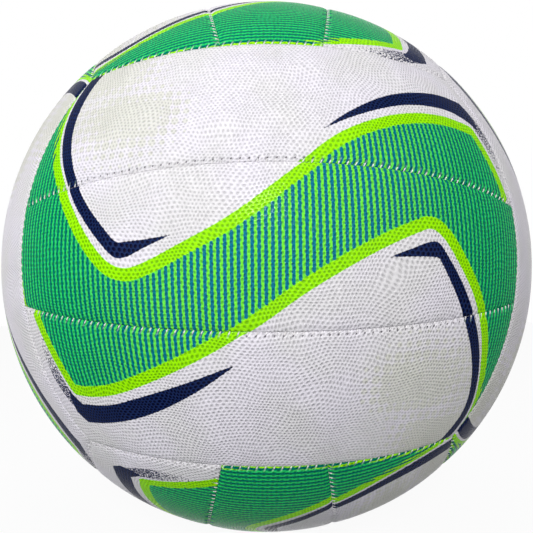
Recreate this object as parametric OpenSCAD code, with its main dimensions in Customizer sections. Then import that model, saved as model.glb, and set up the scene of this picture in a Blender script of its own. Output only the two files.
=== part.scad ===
// A netball: eighteen stitched cover panels over their linings, a bladder and its valve.
// Each of the six faces has three strips side by side, and the strips of neighbouring
// faces run at right angles. Every seam is an arc of a circle round one of twelve axes.

/* [Ball] */
// Distance round the ball, over the crowns of the panels
circumference = 700; // [660:5:840]

/* [Cover layout] */
// Width of a face's centre strip at its middle
centre_strip_w = 51; // [44:0.5:56]
// Width of the strips on both sides of it, the same all along
side_strip_w = 49; // [42:0.5:52]

/* [Cover panels] */
// Thickness of the rubber skin
skin_t = 1.2; // [1:0.1:1.5]
// Radius of the rolled edge
roll_r = 2.1; // [1.8:0.1:2.6]
// Gap between the turned-in edges of two panels
seam_gap = 0.3; // [0.2:0.05:0.5]
// How far the crown falls on its way to the rolled edge
crown_drop = 0.5; // [0.2:0.1:0.9]
// Width of the band in which the crown falls
crown_w = 13; // [9:0.5:16]

/* [Linings] */
// Thickness of the plies of cloth bonded under a skin
lining_t = 1.6; // [1.2:0.1:2.4]
// Thickness of the bond between two layers
bond_t = 0.1; // [0.05:0.05:0.2]

/* [Seams] */
// Thickness of the sewing thread
thread_d = 0.9; // [0.7:0.1:1.1]
// Play between the thread and the rolled edges that it lies on
thread_play = 0.05; // [0.03:0.01:0.1]
// How far a thread stops short of the seam that it runs into
thread_end = 1.6; // [1.2:0.1:3]

/* [Bladder] */
// Thickness of the bladder's wall
bladder_t = 0.7; // [0.6:0.1:1.2]

/* [Valve] */
// How far the valve's face lies below the crown of the panel
valve_sink = 0.5; // [0.3:0.1:0.9]
// Diameter of the valve boot's neck, which shows in the cover
neck_d = 8; // [7:0.5:10]
// Play round the neck in the cover
neck_play = 0.15; // [0.1:0.05:0.3]
// Diameter of the boot's flange, bonded inside the bladder
flange_d = 32; // [26:1:38]
// Thickness of the flange
flange_t = 1.2; // [0.8:0.1:1.6]
// Length of the boot's stem below the flange
stem_l = 17; // [14:0.5:24]
// Diameter of the stem at its foot
stem_foot_d = 7; // [6.6:0.1:8]
// Diameter of the valve core inside the boot
core_d = 4.6; // [4.2:0.1:5]
// Play round the core, before the boot grips it
core_play = 0.05; // [0.03:0.01:0.1]
// Number of rings round the core that the boot grips
core_rings = 2; // [1:1:3]
// Diameter of the core's head
core_head_d = 6; // [5.6:0.1:6.6]
// Thickness of the core's head
core_head_t = 1.2; // [0.8:0.1:1.6]
// Diameter of the hole for the inflating needle
needle_d = 2; // [1.6:0.1:2.4]
// Depth of that hole, above the slit that closes behind the needle
needle_depth = 11; // [8:0.5:13]
// Width of the round funnel that leads the needle in
funnel_d = 3.6; // [3:0.1:4.4]
// Diameter of the patch that strengthens the lining round the valve
patch_d = 40; // [36:1:48]
// Thickness of the patch
patch_t = 0.6; // [0.4:0.1:0.9]

/* [Hidden] */
// Angles, and the turns that carry one face to the others
quarter = 90;
half_turn = 180;
third_turn = 120;
degrees_per_radian = half_turn / PI;
diagonal = [1, 1, 1];
right_axis = [1, 0, 0];
up_axis = [0, 1, 0];
front_axis = [0, 0, 1];

// Smoothness: facets along and across a strip, and round each rolled edge
along_steps = 12;
across_steps = 4;
roll_steps = 2;
settle_rounds = 4;
round_fn = 240;
recess_fn = 120;
small_fn = 72;

ball_r = circumference / (2 * PI);
overrun = 1;

// An arc of the ball's surface as an angle at its centre
function arc(length) = degrees_per_radian * length / ball_r;

// The face's half width, its half length, and the seam circles that bound it
half_width = arc(centre_strip_w / 2 + side_strip_w);
half_length = quarter - half_width;
face_length = 2 * half_length * ball_r / degrees_per_radian;
cube_corner = 1 / sqrt(3);
seam_tilt = atan2(cos(half_length) - cube_corner, sin(half_length) - cube_corner);
outer_seam = half_length + seam_tilt;
inner_seam = outer_seam + arc(side_strip_w);
tilt_sin = sin(seam_tilt);
tilt_cos = cos(seam_tilt);

// Depths of the layers below the crowns, from the outside in
lining_depth = skin_t + bond_t;
foot_depth = lining_depth + lining_t;
wall_inset = seam_gap / 2;
widest_strip = max(centre_strip_w, side_strip_w);
facet_cos = cos(half_length / along_steps) * cos(arc(widest_strip) / (2 * across_steps));
bladder_r = (ball_r - foot_depth) * facet_cos - bond_t;

// The thread's centre line, where it lies on the rolled edges of both panels
roll_centre_depth = crown_drop + roll_r;
thread_reach = roll_r + thread_d / 2 + thread_play;
thread_rise = sqrt(pow(thread_reach, 2) - pow(wall_inset + roll_r, 2));
thread_r = ball_r - roll_centre_depth + thread_rise;

// The valve, from its face down
neck_bore_d = neck_d + 2 * neck_play;
flange_top_r = bladder_r - bladder_t - bond_t;
flange_low_r = flange_top_r - flange_t;
stem_foot = flange_low_r - stem_l;
core_bore_d = core_d + 2 * core_play;
core_foot = stem_foot + core_d;
core_ring_h = core_d / 4;
core_bevel = 3 * core_play;
patch_top_r = ball_r - foot_depth + patch_t;
valve_face = ball_r - valve_sink;
funnel_h = (funnel_d - needle_d) / 2;
mouth_z = valve_face - funnel_h;
hole_foot = flange_low_r - stem_l;

// Name, turns about the cube's diagonal, axis of the half turn, side strip's two names
FACES = [
  ["front", 0, front_axis, false, "upper", "lower"],
  ["right", 1, front_axis, false, "front", "back"],
  ["top", 2, front_axis, false, "right", "left"],
  ["back", 0, up_axis, true, "upper", "lower"],
  ["left", 1, front_axis, true, "front", "back"],
  ["bottom", 2, right_axis, true, "right", "left"],
];
STRIPS = [1, 0, -1];
PANEL_COLOURS = ["whitesmoke", "mediumseagreen", "gainsboro"];

function strip_name(face, strip) =
  strip == 0 ? "centre" : strip == 1 ? face[4] : face[5];
function panel_name(face, strip) = str(face[0], "_", strip_name(face, strip), "_panel");
function lining_name(face, strip) = str(face[0], "_", strip_name(face, strip), "_lining");
function thread_name(face) = str(face[0], "_seam_thread");

// How far the crown has fallen at a distance in from the rolled edge
function crown_fall(in) = crown_drop * pow(max(0, 1 - in / crown_w), 2);

// Lines across a panel, from one edge to the other. Each is [share of the way between
// the rolled edges, distance in from the seam, drop below the crown]
function lines(steps, length, wall, roll) = concat(
  [for (i = [0 : roll_steps - 1]) roll_line(0, i, wall, roll)],
  [for (i = [0 : steps])
    let (share = i / steps, in = length * min(share, 1 - share))
    [share, wall + roll, crown_fall(in)]],
  [for (i = [roll_steps - 1 : -1 : 0]) roll_line(1, i, wall, roll)]
);
function roll_line(share, i, wall, roll) =
  let (turn = quarter * i / roll_steps)
  [share, wall + roll * (1 - cos(turn)), crown_drop + roll * (1 - sin(turn))];

// The same without the roll, for the layers that have square edges
function square_lines(steps, length, wall) = [
  for (i = [0 : steps])
    let (share = i / steps, in = length * min(share, 1 - share))
    [share, wall, crown_fall(in)]
];

// From one edge to the other of a stretch that reaches as far to both sides
function spread(share, half) = (2 * share - 1) * half;

// Side strip: how far round the side axis the end seam lies, at an angle from that axis
function end_turn(angle, inset) =
  let (
    level = cos(outer_seam - arc(inset)) + tilt_sin * tilt_cos * cos(angle),
    swing = norm([pow(tilt_cos, 2), tilt_sin])
  )
  acos(level / (sin(angle) * swing)) - atan2(tilt_sin, pow(tilt_cos, 2));

function side_direction(row, col) =
  let (
    from = outer_seam + arc(row[1]),
    to = inner_seam - arc(row[1]),
    angle = from + (to - from) * row[0],
    turn = spread(col[0], end_turn(angle, col[1]))
  )
  cos(angle) * [0, tilt_cos, -tilt_sin]
  + sin(angle) * (cos(turn) * [0, tilt_sin, tilt_cos] + sin(turn) * right_axis);

// Centre strip: the height of the inner seam, and the length to the end seam
function edge_height(length_angle, inset) =
  let (across = norm([tilt_cos, tilt_sin * cos(length_angle)]))
  asin(cos(inner_seam + arc(inset)) / across)
  + atan2(tilt_sin * cos(length_angle), tilt_cos);
function end_length(height, inset) =
  acos(cos(outer_seam - arc(inset)) / cos(height)) - seam_tilt;

// Each depends on the other, and a few rounds settle both
function centre_angles(row, col, height, rounds) =
  let (
    length_angle = spread(col[0], end_length(height, col[1])),
    settled = spread(row[0], edge_height(length_angle, row[1]))
  )
  rounds == 0 ? [settled, length_angle] : centre_angles(row, col, settled, rounds - 1);

function centre_direction(row, col) =
  let (a = centre_angles(row, col, 0, settle_rounds))
  [cos(a[0]) * sin(a[1]), sin(a[0]), cos(a[0]) * cos(a[1])];

// A layer's grid of points, row by row
function grid_points(centre, rows, cols, depth) = [
  for (row = rows) for (col = cols)
    (ball_r - depth - max(row[2], col[2]))
    * (centre ? centre_direction(row, col) : side_direction(row, col))
];

// Triangles over a grid of points, seen from outside or from inside
function grid_faces(start, nc, nr, outside) = [
  for (j = [0 : nr - 1]) for (i = [0 : nc - 1])
    let (p = start + j * (nc + 1) + i, q = p + nc + 1)
    for (f = [[p, q, p + 1], [p + 1, q, q + 1]])
      outside ? f : [f[0], f[2], f[1]]
];

// The points round the edge of a grid, in order
function edge_cells(nc, nr) = concat(
  [for (i = [0 : nc - 1]) [i, 0]],
  [for (j = [0 : nr - 1]) [nc, j]],
  [for (i = [nc : -1 : 1]) [i, nr]],
  [for (j = [nr : -1 : 1]) [0, j]]
);

// Triangles between the edges of two grids. The first may have rolled lines that the
// second lacks, and these close in on the second one's corners
function band_faces(start_a, nc_a, nr_a, start_b, nc_b, nr_b) =
  let (
    cells = edge_cells(nc_a, nr_a),
    extra = (nc_a - nc_b) / 2
  )
  [
    for (k = [0 : len(cells) - 1])
      let (
        p = cells[k],
        q = cells[(k + 1) % len(cells)],
        a = start_a + p[1] * (nc_a + 1) + p[0],
        b = start_a + q[1] * (nc_a + 1) + q[0],
        c = start_b + near_cell(p, extra, nc_b, nr_b),
        d = start_b + near_cell(q, extra, nc_b, nr_b)
      )
      for (f = c == d ? [[a, b, c]] : [[a, b, c], [b, d, c]]) f
  ];
function near_cell(p, extra, nc, nr) =
  min(max(p[1] - extra, 0), nr) * (nc + 1) + min(max(p[0] - extra, 0), nc);

// The rubber skin of a panel: crowned and rolled outside, and turned in at its edges
// down to the lining's foot, so that it is open below
module skin_shell(centre) {
  across = centre ? centre_strip_w : side_strip_w;
  nc = along_steps;
  nr = across_steps;
  fine_c = nc + 2 * roll_steps;
  fine_r = nr + 2 * roll_steps;
  inner = wall_inset + skin_t;
  outside = grid_points(centre, lines(nr, across, wall_inset, roll_r),
    lines(nc, face_length, wall_inset, roll_r), 0);
  outside_foot = grid_points(centre, foot_lines(nr, wall_inset), foot_lines(nc, wall_inset),
    foot_depth);
  inside_foot = grid_points(centre, foot_lines(nr, inner), foot_lines(nc, inner), foot_depth);
  inside = grid_points(centre, square_lines(nr, across, inner),
    square_lines(nc, face_length, inner), skin_t);
  s1 = len(outside);
  s2 = s1 + len(outside_foot);
  s3 = s2 + len(inside_foot);
  polyhedron(
    concat(outside, outside_foot, inside_foot, inside),
    concat(
      grid_faces(0, fine_c, fine_r, true),
      band_faces(0, fine_c, fine_r, s1, nc, nr),
      band_faces(s1, nc, nr, s2, nc, nr),
      band_faces(s2, nc, nr, s3, nc, nr),
      grid_faces(s3, nc, nr, false)
    )
  );
}

// Lines at one depth, for the foot of a layer
function foot_lines(steps, wall) = [for (i = [0 : steps]) [i / steps, wall, 0]];

// The lining of a panel: a slab that fills the skin between its turned-in edges
module lining_slab(centre) {
  across = centre ? centre_strip_w : side_strip_w;
  nc = along_steps;
  nr = across_steps;
  wall = wall_inset + lining_depth;
  top = grid_points(centre, square_lines(nr, across, wall),
    square_lines(nc, face_length, wall), lining_depth);
  foot = grid_points(centre, foot_lines(nr, wall), foot_lines(nc, wall), foot_depth);
  polyhedron(
    concat(top, foot),
    concat(
      grid_faces(0, nc, nr, true),
      band_faces(0, nc, nr, len(top), nc, nr),
      grid_faces(len(top), nc, nr, false)
    )
  );
}

// Puts a strip in its place on the front face: the lower side strip is the upper one
// turned half round
module on_strip(strip) {
  rotate(strip < 0 ? half_turn : 0, front_axis) children();
}

// A point of a seam's half plane: its angle from the seam's axis and its radius
function polar_point(angle, r) = [r * sin(angle), r * cos(angle)];

// Tilts a seam's axis from the face's normal, for the seam at the face's right or left end
module end_axis(end) {
  rotate(-end * seam_tilt, up_axis) children();
}

// The same for the seams along the face's upper or lower side
module side_axis(side) {
  rotate(-side * (quarter + seam_tilt), right_axis) children();
}

// Carries the front face, drawn facing +Z, to one of the six faces of the ball
module on_face(face) {
  rotate(quarter, right_axis)
    rotate(face[3] ? half_turn : 0, face[0] == "left" ? front_axis : face[2])
      rotate(third_turn * face[1], diagonal)
        children();
}

// The hole for the valve's neck, through whatever lies at the top of the ball
module neck_hole(d) {
  translate([0, 0, hole_foot])
    cylinder(d = d, h = ball_r, $fn = small_fn);
}

// A rubber skin: crowned outside, rolled at its edges and turned in to the lining's depth
module panel(face, strip) {
  color(PANEL_COLOURS[strip + 1])
    difference() {
      on_face(face) on_strip(strip) skin_shell(strip == 0);
      if (face[0] == "top" && strip == 0)
        neck_hole(neck_bore_d);
    }
}

// The bonded plies of cloth that fill a skin between its turned-in edges
module lining(face, strip) {
  color("wheat")
    difference() {
      on_face(face) on_strip(strip) lining_slab(strip == 0);
      if (face[0] == "top" && strip == 0) {
        neck_hole(neck_bore_d);
        intersection() {
          rotate(quarter, right_axis)
            sphere(patch_top_r + bond_t, $fn = recess_fn);
          neck_hole(patch_d + 2 * bond_t);
        }
      }
    }
}

// A thread along part of a seam's circle, centred on the side away from the face's end
module thread_run(seam, half_angle, middle) {
  rotate(middle - half_angle)
    rotate_extrude(angle = 2 * half_angle, $fn = round_fn)
      translate(polar_point(seam, thread_r))
        circle(d = thread_d, $fn = small_fn);
}

// Half the angle, about a seam's axis, of an end seam and of an inner seam, less the stops
function end_run_half() =
  let (
    corner_height = ball_r * cube_corner,
    circle_r = ball_r * sin(outer_seam)
  )
  asin(corner_height / circle_r) - degrees_per_radian * thread_end / circle_r;

// Where an inner seam meets the end seam, found from the two circles' planes
function inner_run_half() =
  let (
    along = cos(outer_seam) / cos(seam_tilt),
    slope = tan(seam_tilt),
    height = cos(inner_seam) / cos(seam_tilt),
    a = 1 + pow(slope, 2) + pow(slope, 4),
    b = slope * along * (1 + pow(slope, 2)) + slope * slope * height,
    c = pow(along, 2) + pow(height + slope * along, 2) - 1,
    end_x = (-b + sqrt(pow(b, 2) - a * c)) / a,
    circle_r = sin(inner_seam)
  )
  asin(end_x / circle_r) - degrees_per_radian * thread_end / (ball_r * circle_r);

// The sewing of a face: both inner seams and the seams at both ends of its strips
module seam_thread(face) {
  color("ivory")
    on_face(face) {
      for (end = [-1, 1])
        end_axis(end) thread_run(outer_seam, end_run_half(), end == 1 ? 0 : half_turn);
      for (side = [-1, 1])
        side_axis(side) thread_run(inner_seam, inner_run_half(), -side * quarter);
    }
}

// The butyl bladder, with the hole that the valve boot is bonded into
module bladder() {
  color("dimgray")
    difference() {
      sphere(bladder_r, $fn = round_fn);
      sphere(bladder_r - bladder_t, $fn = round_fn);
      neck_hole(neck_bore_d);
    }
}

// The cloth patch let into the lining round the valve
module valve_patch() {
  color("tan")
    difference() {
      intersection() {
        difference() {
          sphere(patch_top_r, $fn = round_fn);
          sphere(patch_top_r - patch_t, $fn = round_fn);
        }
        neck_hole(patch_d);
      }
      neck_hole(neck_bore_d);
    }
}

// The soft rubber boot: neck up to the cover, flange under the bladder, stem inside
module valve_boot() {
  color("darkslategray")
    difference() {
      union() {
        intersection() {
          sphere(valve_face, $fn = round_fn);
          translate([0, 0, stem_foot + stem_l / 2])
            cylinder(d = neck_d, h = ball_r, $fn = small_fn);
        }
        intersection() {
          difference() {
            sphere(flange_top_r, $fn = round_fn);
            sphere(flange_low_r, $fn = round_fn);
          }
          neck_hole(flange_d);
        }
        translate([0, 0, stem_foot])
          cylinder(d1 = stem_foot_d, d2 = neck_d, h = stem_l / 2, $fn = small_fn);
      }
      translate([0, 0, core_foot - core_play])
        cylinder(d = core_bore_d, h = ball_r, $fn = small_fn);
      translate([0, 0, valve_face - core_head_t - core_play])
        cylinder(d = core_head_d + 2 * core_play, h = ball_r, $fn = small_fn);
    }
}

// The outline of a ring that the boot grips, from its foot up
function grip_ring(foot) = [
  [core_d / 2, foot],
  [(core_d + core_play) / 2, foot + core_ring_h / 2],
  [core_d / 2, foot + core_ring_h],
];

// The valve core: a headed rubber plug with its grip rings and the needle's hole
module valve_core() {
  head_z = valve_face - core_head_t;
  color("black")
    difference() {
      rotate_extrude($fn = small_fn)
        polygon(concat(
          [[0, core_foot],
            [core_d / 2 - core_bevel, core_foot],
            [core_d / 2, core_foot + core_bevel]],
          [for (ring = [1 : core_rings]) each grip_ring(core_foot + 2 * ring * core_ring_h)],
          [[core_d / 2, head_z],
            [core_head_d / 2, head_z],
            [core_head_d / 2, valve_face - core_bevel],
            [core_head_d / 2 - core_bevel, valve_face],
            [0, valve_face]]
        ));
      translate([0, 0, mouth_z - needle_depth])
        cylinder(d = needle_d, h = needle_depth + overrun, $fn = small_fn);
      translate([0, 0, mouth_z])
        cylinder(d1 = needle_d, d2 = funnel_d + needle_d, h = 2 * funnel_h, $fn = small_fn);
    }
}

for (face = FACES) {
  for (strip = STRIPS) {
    panel(face, strip);
    lining(face, strip);
  }
  seam_thread(face);
}
bladder();
valve_patch();
valve_boot();
valve_core();
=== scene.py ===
import math

import bpy
import numpy as np
from mathutils import Matrix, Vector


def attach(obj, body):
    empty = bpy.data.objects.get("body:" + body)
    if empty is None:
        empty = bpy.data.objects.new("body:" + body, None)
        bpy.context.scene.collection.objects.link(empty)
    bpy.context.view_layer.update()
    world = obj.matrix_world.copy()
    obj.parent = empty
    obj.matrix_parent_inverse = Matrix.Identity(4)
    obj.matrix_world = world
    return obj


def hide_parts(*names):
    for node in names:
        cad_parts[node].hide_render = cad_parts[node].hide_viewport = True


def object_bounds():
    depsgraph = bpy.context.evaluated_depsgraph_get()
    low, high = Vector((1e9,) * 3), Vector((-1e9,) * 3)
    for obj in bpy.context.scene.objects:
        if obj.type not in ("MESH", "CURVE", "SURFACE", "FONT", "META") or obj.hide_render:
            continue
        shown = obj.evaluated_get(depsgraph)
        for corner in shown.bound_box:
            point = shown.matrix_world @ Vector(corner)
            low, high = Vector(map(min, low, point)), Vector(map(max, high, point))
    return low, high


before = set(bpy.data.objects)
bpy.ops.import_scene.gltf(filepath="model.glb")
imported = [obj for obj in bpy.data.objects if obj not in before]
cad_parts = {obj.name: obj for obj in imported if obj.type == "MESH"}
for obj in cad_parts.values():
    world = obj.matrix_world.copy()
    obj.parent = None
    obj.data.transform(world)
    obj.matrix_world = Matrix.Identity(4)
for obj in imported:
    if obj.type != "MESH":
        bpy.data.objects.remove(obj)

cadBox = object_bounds()
print("frame loaded")

metre = 0.001  # everything below is drawn in millimetres
ballR = max(cadBox[1]) / metre
quarterTurn = math.pi / 2
halfTurn = math.pi
wholeTurn = 2 * math.pi

ball = {
    "centreStrip": 51.0,  # width of a face's middle strip
    "sideStrip": 49.0,  # width of the strips beside it
    "skin": 1.2,
    "foot": 2.9,  # how deep the turned-in edges reach
    "roll": 2.1,  # width of the rolled edge
    "rollDepth": 0.45,
    "gap": 0.1,  # what shows between two rolled edges
    "crownDrop": 0.2,
    "crownBand": 13.0,  # where the crown falls
    "rollSteps": 6,
    "edgeBand": 4.0,  # closer mesh lines beside a seam
    "edgeStep": 0.4,
    "acrossStep": 0.7,
    "alongStep": 0.5,
    "insideEvery": 4,  # the inner surface takes every fourth line
    "settleRounds": 4,
}


def arc(length):
    return length / ballR


# The seams are circles round axes that lean by this tilt from the faces' normals
halfWidth = arc(ball["centreStrip"] / 2 + ball["sideStrip"])
halfLength = quarterTurn - halfWidth
cubeCorner = 1 / math.sqrt(3)
tilt = math.atan2(math.cos(halfLength) - cubeCorner, math.sin(halfLength) - cubeCorner)
tiltSin = math.sin(tilt)
tiltCos = math.cos(tilt)
outerSeam = halfLength + tilt
innerSeam = outerSeam + arc(ball["sideStrip"])
faceLength = 2 * halfLength * ballR
wallInset = ball["gap"] / 2

# Each face is the front one after thirds of a turn about the cube's diagonal and a half turn
faces = [
    {"name": "front", "thirds": 0, "flip": None, "sides": ("upper", "lower")},
    {"name": "right", "thirds": 1, "flip": None, "sides": ("front", "back")},
    {"name": "top", "thirds": 2, "flip": None, "sides": ("right", "left")},
    {"name": "back", "thirds": 0, "flip": "Y", "sides": ("upper", "lower")},
    {"name": "left", "thirds": 1, "flip": "Z", "sides": ("front", "back")},
    {"name": "bottom", "thirds": 2, "flip": "X", "sides": ("right", "left")},
]


def faceTurn(face):
    turn = Matrix.Rotation(quarterTurn, 3, "X")
    if face["flip"]:
        turn = turn @ Matrix.Rotation(halfTurn, 3, face["flip"])
    return np.array(turn @ Matrix.Rotation(face["thirds"] * wholeTurn / 3, 3, (1, 1, 1)))


def stripName(face, strip):
    # a strip is 1 or -1 for the side strips and 0 for the middle one
    first, second = face["sides"]
    return {0: "centre", 1: first, -1: second}[strip]


# A seam is its axis, the direction of its middle and the angle between them, on the front face
def endSeam(end):
    axis = np.array([-end * tiltSin, 0, tiltCos])
    middle = np.array([end * tiltCos, 0, tiltSin])
    return axis, middle, outerSeam


def sideSeam(side, angle):
    axis = np.array([0, side * tiltCos, -tiltSin])
    middle = np.array([0, side * tiltSin, tiltCos])
    return axis, middle, angle


def seamsOf(strip):
    # the two seams along a strip, and the two at its ends
    if strip:
        return [sideSeam(1, innerSeam), sideSeam(1, outerSeam)], [endSeam(1), endSeam(-1)]
    return [sideSeam(1, innerSeam), sideSeam(-1, innerSeam)], [endSeam(1), endSeam(-1)]


def seamPlace(points, seam):
    # how far a point lies towards the seam's axis, and how far along from its middle
    axis, middle, angle = seam
    across = (angle - np.arccos(np.clip(points @ axis, -1, 1))) * ballR
    along = np.arctan2(points @ np.cross(axis, middle), points @ middle) * ballR * math.sin(angle)
    return across, along


def seamPoint(seam, across, along):
    axis, middle, angle = seam
    theta = angle - across / ballR
    phi = along / (ballR * math.sin(angle))
    side = np.cross(axis, middle)
    ring = np.cos(phi)[..., None] * middle + np.sin(phi)[..., None] * side
    return np.cos(theta)[..., None] * axis + np.sin(theta)[..., None] * ring


stitching = {
    "pitch": 2.74,
    "lean": 0.42,  # how far a stitch leans for each millimetre across
    "hole": 1.25,  # from the gap to the needle's hole
    "start": -0.15,
    "show": 1.05,  # where the thread sinks into the cover
    "twist": 0.9,  # turns of the two plies in a stitch
    "ply": 0.13, "plyOffset": 0.1,
    "sit": 0.195,  # how deep the thread lies in the lip
    "rise": 0.25,  # how much deeper it comes out of the gap
    "bury": 0.5, "wobble": 0.07,
    "endRoom": 2.2,  # the last stitch keeps this far from the corner
    "rings": 10, "sides": 6,
    "pull": 0.26,  # how deep a stitch draws the lip in
    "pullWidth": 0.45,
    "farSide": 0.25,  # share of the pull beyond the gap
    "scallop": 0.08,
    "reach": 2.3,  # how far in from the gap the lip is drawn in
    "cornerRoom": (2.0, 4.0),  # where the pull fades towards a corner
}


def smooth(x, low, high):
    t = np.clip((x - low) / (high - low), 0, 1)
    return t * t * (3 - 2 * t)


def crownFall(inwards):
    return ball["crownDrop"] * np.maximum(0, 1 - inwards / ball["crownBand"]) ** 2


def panelLines(length, step):
    # mesh lines of a panel, from rolled edge to rolled edge
    roll = ball["roll"]
    steps = ball["rollSteps"]
    turn = np.arange(steps) / steps
    rollIn = wallInset + roll * turn
    rollDrop = ball["crownDrop"] + ball["rollDepth"] * (1 - turn) ** 2
    near = np.arange(0, ball["edgeBand"], ball["edgeStep"])
    middleCells = round((length / 2 - ball["edgeBand"]) / step)
    middleCells += -(len(near) + middleCells) % ball["insideEvery"]
    half = np.concatenate([near, np.linspace(ball["edgeBand"], length / 2, middleCells + 1)])
    share = np.concatenate([half, length - half[-2::-1]]) / length
    inwards = length * np.minimum(share, 1 - share)
    place = np.concatenate([roll * turn, roll + share * length, length + roll * (2 - turn[::-1])])
    return {
        "share": np.concatenate([np.zeros(steps), share, np.ones(steps)]),
        "inset": np.concatenate([rollIn, np.full(len(share), wallInset + roll), rollIn[::-1]]),
        "drop": np.concatenate([rollDrop, crownFall(inwards), rollDrop[::-1]]),
        "texture": place / place[-1],
    }


def insideLines(lines, every):
    # the inner surface's lines: every so many of the crown's
    crown = slice(ball["rollSteps"], -ball["rollSteps"])
    share = lines["share"][crown][::every]
    return {
        "share": share,
        "inset": np.full(len(share), wallInset + ball["skin"]),
        "drop": lines["drop"][crown][::every],
        "texture": share,
    }


def endTurn(theta, inset):
    swing = math.hypot(tiltCos ** 2, tiltSin)
    level = np.cos(outerSeam - inset / ballR) + tiltSin * tiltCos * np.cos(theta)
    return np.arccos(level / (np.sin(theta) * swing)) - math.atan2(tiltSin, tiltCos ** 2)


def sideDirections(rows, cols):
    low = outerSeam + rows["inset"] / ballR
    high = innerSeam - rows["inset"] / ballR
    theta = (low + (high - low) * rows["share"])[:, None]
    phi = (2 * cols["share"] - 1) * endTurn(theta, cols["inset"][None, :])
    axis, middle, _ = sideSeam(1, innerSeam)
    right = np.array([1.0, 0, 0])
    ring = np.cos(phi)[..., None] * middle + np.sin(phi)[..., None] * right
    return np.cos(theta)[..., None] * axis + np.sin(theta)[..., None] * ring


def centreDirections(rows, cols):
    height = np.zeros((len(rows["share"]), len(cols["share"])))
    for _ in range(ball["settleRounds"] + 1):
        reach = np.arccos(np.cos(outerSeam - cols["inset"] / ballR) / np.cos(height)) - tilt
        turn = (2 * cols["share"] - 1) * reach
        lean = tiltSin * np.cos(turn)
        edge = np.arcsin(np.cos(innerSeam + rows["inset"][:, None] / ballR) / np.hypot(tiltCos, lean))
        height = (2 * rows["share"][:, None] - 1) * (edge + np.arctan2(lean, tiltCos))
    return np.stack([np.cos(height) * np.sin(turn), np.sin(height), np.cos(height) * np.cos(turn)], -1)


def loopCells(colCells, rowCells):
    # the grid's border, once round
    i = np.concatenate([np.arange(colCells), np.full(rowCells, colCells),
                        np.arange(colCells, 0, -1), np.zeros(rowCells, int)])
    j = np.concatenate([np.zeros(colCells, int), np.arange(rowCells),
                        np.full(colCells, rowCells), np.arange(rowCells, 0, -1)])
    return i, j


def gridQuads(colCells, rowCells):
    i, j = np.meshgrid(np.arange(colCells), np.arange(rowCells))
    p = (j * (colCells + 1) + i).ravel()
    return np.stack([p, p + 1, p + colCells + 2, p + colCells + 1], -1)


def loopBand(outer, inner):
    # quads between two closed loops of the same length; triangles where the inner one stands still
    outerNext = np.roll(outer, -1)
    innerNext = np.roll(inner, -1)
    still = inner == innerNext
    quads = np.stack([outer, inner, innerNext, outerNext], -1)[~still]
    return quads, np.stack([outer, inner, outerNext], -1)[still]


def addObject(name, data):
    added = bpy.data.objects.new(name, data)
    bpy.context.scene.collection.objects.link(added)
    return added


def buildMesh(name, points, polygons, uvMaps=()):
    # polygons: arrays of corners; uvMaps: a name and the values at all corners
    mesh = bpy.data.meshes.new(name)
    mesh.vertices.add(len(points))
    mesh.vertices.foreach_set("co", (points * metre).astype(np.float32).ravel())
    corners = np.concatenate([p.ravel() for p in polygons]).astype(np.int32)
    sizes = np.concatenate([np.full(len(p), p.shape[1]) for p in polygons]).astype(np.int32)
    starts = np.cumsum(sizes) - sizes
    mesh.loops.add(len(corners))
    mesh.loops.foreach_set("vertex_index", corners)
    mesh.polygons.add(len(sizes))
    mesh.polygons.foreach_set("loop_start", starts.astype(np.int32))
    mesh.polygons.foreach_set("use_smooth", np.ones(len(sizes), bool))
    for mapName, values in uvMaps:
        layer = mesh.uv_layers.new(name=mapName)
        layer.data.foreach_set("uv", values.astype(np.float32).ravel())
    mesh.update(calc_edges=True)
    mesh.validate()
    return addObject(name, mesh)


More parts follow.
